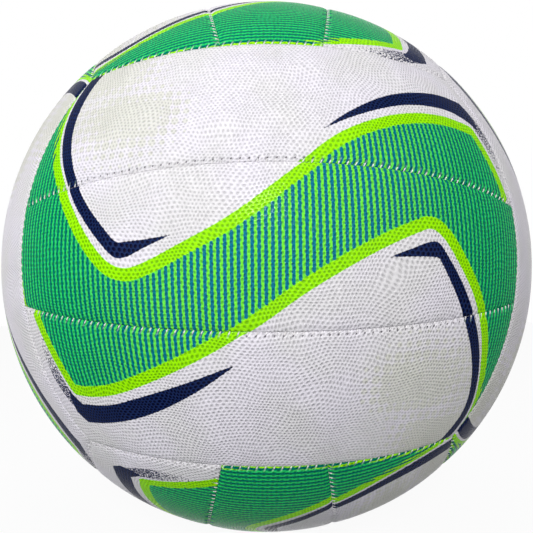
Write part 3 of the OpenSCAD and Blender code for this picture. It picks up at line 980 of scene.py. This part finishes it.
def cutHole(shape, inHole, topLoop, footLoop):
    # takes out what is inside the hole and lines it with rings down to the inner surface
    for k, quads in enumerate(shape["quads"]):
        keep = ~inHole[quads].any(1)
        shape["quads"][k] = quads[keep]
        shape["textureQuads"][k] = shape["textureQuads"][k][keep]
    unit, radius, texture = shape["unit"], shape["radius"], shape["texture"]
    loops, textureLoops = [topLoop], [topLoop]
    flat = unit[topLoop][:, :2]
    size = np.linalg.norm(flat, axis=-1, keepdims=True)
    fromMiddle = texture[topLoop] - texture[topLoop].mean(0)
    for step in range(1, valve["lipRings"] + 2):
        textureLoops.append(len(texture) + np.arange(len(topLoop)))
        texture = np.concatenate([texture, texture[topLoop] - valve["textureIn"] * step * fromMiddle])
        if step > valve["lipRings"]:
            loops.append(footLoop)
            continue
        turn = quarterTurn * step / valve["lipRings"]
        ring = flat / size * (size - valve["lipIn"] * math.sin(turn) / ballR)
        up = np.sqrt(1 - (ring ** 2).sum(-1, keepdims=True))
        loops.append(len(unit) + np.arange(len(topLoop)))
        unit = np.concatenate([unit, np.concatenate([ring, up], -1)])
        level = valve["lip"] * (1 - math.cos(turn)) + valve["lipDrop"] * step
        radius = np.concatenate([radius, radius[topLoop] - level])
    for key, around in (("quads", loops), ("textureQuads", textureLoops)):
        shape[key] += [loopBand(above, below)[0][:, ::-1] for above, below in zip(around, around[1:])]
    shape.update(unit=unit, radius=radius, texture=texture)


def dragged(across):
    # the stitches pull the edge sideways on the side that they enter
    near = np.clip(1 - across / inks["bendReach"], 0, 1) ** 2
    return np.where(across > 0, near * inks["bend"], 0)


def makePanel(face, strip, shape, chance):
    name = f"{face['name']}_{stripName(face, strip)}"
    unit = shape["unit"] * (np.array([-1, -1, 1]) if strip < 0 else 1)
    points = unit * shape["radius"][:, None] @ faceTurn(face).T

    # where each point lies on the print, and how far from the print's outlines
    moveU, moveV = inks["moves"].get(name, (0.0, 0.0)) + chance.uniform(-1, 1, 2) * inks["slip"]
    (sideAcross, sideAlong), (endAcross, endAlong) = shape["seams"]
    dragU = dragged(sideAcross) * np.sign(unit[:, 1])
    dragV = dragged(endAcross) * np.sign(unit[:, 0])
    u = np.arctan2(unit[:, 0], unit[:, 2]) * ballR - moveU + dragU
    v = np.arcsin(np.clip(unit[:, 1], -1, 1)) * ballR - moveV + dragV
    wave = lookUp(waveField if strip else centreWaveField, u, v)
    marks = lookUp(markField, u, v)
    tails = lookUp(tailField, u, v)
    endLime = chance.uniform(*inks["endLime"]) if face["name"] != "front" else -1.0
    wave = np.maximum(wave, endLime - inks["edging"] - endAcross)
    for field in (wave, marks, tails):
        field[shape["outerCount"]:] = inks["unprinted"]

    a, b, _, c = points[shape["quads"][0]]
    flip = -1 if np.dot(np.cross(b - a, c - a), a) < 0 else 1
    quads, tris, textureQuads = [shape[key][:, ::flip] for key in ("quads", "tris", "textureQuads")]
    corners = np.concatenate([quads.ravel(), tris.ravel()])
    textureCorners = np.concatenate([textureQuads.ravel(), tris.ravel()])
    maps = {"print": (u, v), "marks": (wave, marks), "tails": (tails, tails),
            "sideSeam": (sideAcross, sideAlong), "endSeam": (endAcross, endAlong)}
    uvMaps = [(mapName, np.stack(pair, -1)[corners]) for mapName, pair in maps.items()]
    uvMaps = [("OFBake", shape["texture"][textureCorners]), *uvMaps]
    piece = buildMesh(f"{name}_skin", points, [quads, tris], uvMaps)
    piece.data.materials.append(materials["cover"])
    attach(piece, "root")
    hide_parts(f"{name}_panel")


sideShape = panelShape(1)
centreShape = panelShape(0)
valveShape = panelShape(0, hole=True)
chance = np.random.default_rng(7)
for face in faces:
    middleShape = valveShape if face["name"] == "top" else centreShape
    for strip, shape in ((1, sideShape), (0, middleShape), (-1, sideShape)):
        makePanel(face, strip, shape, chance)
    print("cover of the", face["name"], "face made")


def endReach():
    return math.asin(cubeCorner / math.sin(outerSeam)) * math.sin(outerSeam) * ballR


def innerReach():
    # where an inner seam's circle meets the end seam's
    along, slope, height = math.cos(outerSeam) / tiltCos, math.tan(tilt), math.cos(innerSeam) / tiltCos
    a = 1 + slope ** 2 + slope ** 4
    b = slope * along * (1 + slope ** 2) + slope ** 2 * height
    c = along ** 2 + (height + slope * along) ** 2 - 1
    x = (-b + math.sqrt(b * b - a * c)) / a
    return math.asin(x / math.sin(innerSeam)) * math.sin(innerSeam) * ballR


def lipDepth(across):
    # how deep the rolled edge lies at a distance from the gap
    inset = np.clip(np.abs(across) - wallInset, 0, ball["roll"])
    return ball["crownDrop"] + ball["rollDepth"] * (1 - inset / ball["roll"]) ** 2


def stitchMesh(name, seams, turn, chance):
    # every stitch is two plies that twist from the gap to the needle's hole
    s = stitching
    middles, stitchSeams = [], []
    for seam, reach in seams:
        count = int((reach - s["endRoom"]) / s["pitch"])
        middles.append(np.arange(-count, count + 1) * s["pitch"])
        stitchSeams += [seam] * (2 * count + 1)
    middles = np.concatenate(middles)
    share = np.linspace(0, 1, s["rings"])
    across = s["start"] + (s["show"] - s["start"]) * share
    wobble = chance.normal(0, s["wobble"], (len(middles), 1))
    along = middles[:, None] + s["lean"] * across[None, :] + wobble * share[None, :]
    drop = lipDepth(across) + s["sit"] + s["bury"] * smooth(share, 0.8, 1)
    drop = drop + s["rise"] * (1 - smooth(share, 0, 0.2))
    out = np.array([seamPoint(seam, across, along[k]) for k, seam in enumerate(stitchSeams)])
    paths = out * (ballR - drop)[None, :, None]
    ahead = np.gradient(paths, axis=1)
    ahead /= np.linalg.norm(ahead, axis=-1, keepdims=True)
    side = np.cross(ahead, out)
    side /= np.linalg.norm(side, axis=-1, keepdims=True)
    up = np.cross(side, ahead)
    sides, rings = s["sides"], s["rings"]
    around = (wholeTurn * np.arange(sides) / sides)[:, None]
    circle = np.cos(around) * side[:, :, None, :] + np.sin(around) * up[:, :, None, :]
    points = []
    for ply in (0, 1):
        turnAt = wholeTurn * (s["twist"] * share + ply / 2)[None, :, None]
        centre = paths + s["plyOffset"] * (np.cos(turnAt) * side + np.sin(turnAt) * up)
        points.append((centre[:, :, None, :] + s["ply"] * circle).reshape(-1, 3))
    tube = np.arange(2 * len(middles))[:, None, None] * rings * sides
    ring, k = np.meshgrid(np.arange(rings - 1), np.arange(sides), indexing="ij")
    a = tube + ring * sides + k
    b = tube + ring * sides + (k + 1) % sides
    quads = np.stack([a, b, b + sides, a + sides], -1).reshape(-1, 4)
    caps = tube[:, 0] + np.arange(sides)[None, :]
    ends = np.concatenate([caps[:, ::-1], caps + (rings - 1) * sides])
    piece = buildMesh(name, np.concatenate(points) @ turn.T, [quads, ends])
    piece.data.materials.append(materials["thread"])
    return piece


faceSeams = [(endSeam(end), endReach()) for end in (1, -1)]
faceSeams += [(sideSeam(side, innerSeam), innerReach()) for side in (1, -1)]
for face in faces:
    piece = stitchMesh(f"{face['name']}_stitches", faceSeams, faceTurn(face), chance)
    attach(piece, "root")
    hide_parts(f"{face['name']}_seam_thread")
print("seams sewn")

nodeMaterials = {
    "bladder": "bladder_rubber", "valve_boot": "valve_rubber",
    "valve_core": "valve_core_rubber", "valve_patch": "cloth",
}
for name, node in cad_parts.items():
    finish = "cloth" if name.endswith("_lining") else nodeMaterials.get(name)
    if finish:
        node.data.materials.clear()
        node.data.materials.append(materials[finish])
print("inner pieces finished")


plainWhite = (1.0, 1.0, 1.0, 1.0)
stage = {
    "floorSize": 6.0,
    "floor": rgb(180, 180, 183),
    "cameraShare": 0.9,  # how far the floor shows its plain white to the camera
    "floorWhite": 1.05,
    "world": 0.27,
    "lights": [
        # name, place from the ball's middle, size, watts
        ("top_soft", (0.05, -0.5, 1.2), 1.0, 4.4),
        ("front_soft", (-0.06, -1.05, 0.4), 0.17, 6.9),
        ("left_soft", (-1.22, -0.42, 0.24), 0.7, 4.8),
    ],
}


def seenDirectly(graph):
    path = graph.tree.nodes.new("ShaderNodeLightPath").outputs
    camera, glossy, through = [Value(graph, path[f"Is {kind} Ray"])
                               for kind in ("Camera", "Glossy", "Transmission")]
    return camera.most(glossy).most(through)


def makeFloor():
    half = stage["floorSize"] / 2 / metre
    flat = (-half, -half), (half, -half), (half, half), (-half, half)
    corners = np.array([[x, y, -ballR] for x, y in flat])
    floor = buildMesh("floor", corners, [np.array([[0, 1, 2, 3]])])
    graph = Graph(bpy.data.materials.new("floor_white"))
    plain = graph.add("ShaderNodeBsdfDiffuse", None, {"Color": stage["floor"]})
    shown = graph.add("ShaderNodeEmission", None, {"Color": plainWhite, "Strength": stage["floorWhite"]})
    share = seenDirectly(graph) * stage["cameraShare"]
    mixed = graph.add("ShaderNodeMixShader", None, [share, plain, shown])
    floor.data.materials.append(graph.finish(mixed))


def makeWorld():
    graph = Graph(bpy.data.worlds.new("studio"))
    soft = graph.add("ShaderNodeBackground", None, {"Color": plainWhite, "Strength": stage["world"]})
    white = graph.add("ShaderNodeBackground", None, {"Color": plainWhite, "Strength": 1.0})
    mixed = graph.add("ShaderNodeMixShader", None, [seenDirectly(graph), soft, white])
    bpy.context.scene.world = graph.finish(mixed, "ShaderNodeOutputWorld")


def makeLamps():
    for name, place, size, watts in stage["lights"]:
        lamp = bpy.data.lights.new(name, "AREA")
        lamp.shape = "DISK"
        lamp.size = size
        lamp.energy = watts
        aim = Matrix.Translation(place)
        turn = (-aim.translation).to_track_quat("-Z", "Y")
        addObject(name, lamp).matrix_world = aim @ turn.to_matrix().to_4x4()


view = {
    "distance": 2.785,  # from the ball's middle, in radii
    "lens": 46.61,
    "nearest": 0.01,  # what the camera takes in, in metres
    "furthest": 50,
    "tip": -3.15,  # degrees that the ball is tipped, turned and rolled from straight on
    "turn": 1.47,
    "roll": 0.4,
}


def makeCamera():
    tipped = Matrix.Rotation(math.radians(view["tip"]), 3, "X")
    turned = Matrix.Rotation(math.radians(view["turn"]), 3, "Y")
    rolled = Matrix.Rotation(math.radians(view["roll"]), 3, "Z")
    aim = Matrix.Rotation(quarterTurn, 3, "X") @ (rolled @ tipped @ turned).transposed()
    data = bpy.data.cameras.new("camera")
    data.lens = view["lens"]
    data.clip_start = view["nearest"]
    data.clip_end = view["furthest"]
    camera = addObject("camera", data)
    place = aim.to_4x4()
    place.translation = aim.col[2] * view["distance"] * ballR * metre
    camera.matrix_world = place
    bpy.context.scene.camera = camera


makeFloor()
makeWorld()
makeLamps()
makeCamera()
bpy.context.scene.view_settings.view_transform = "Standard"
print("stage, lights and camera set")
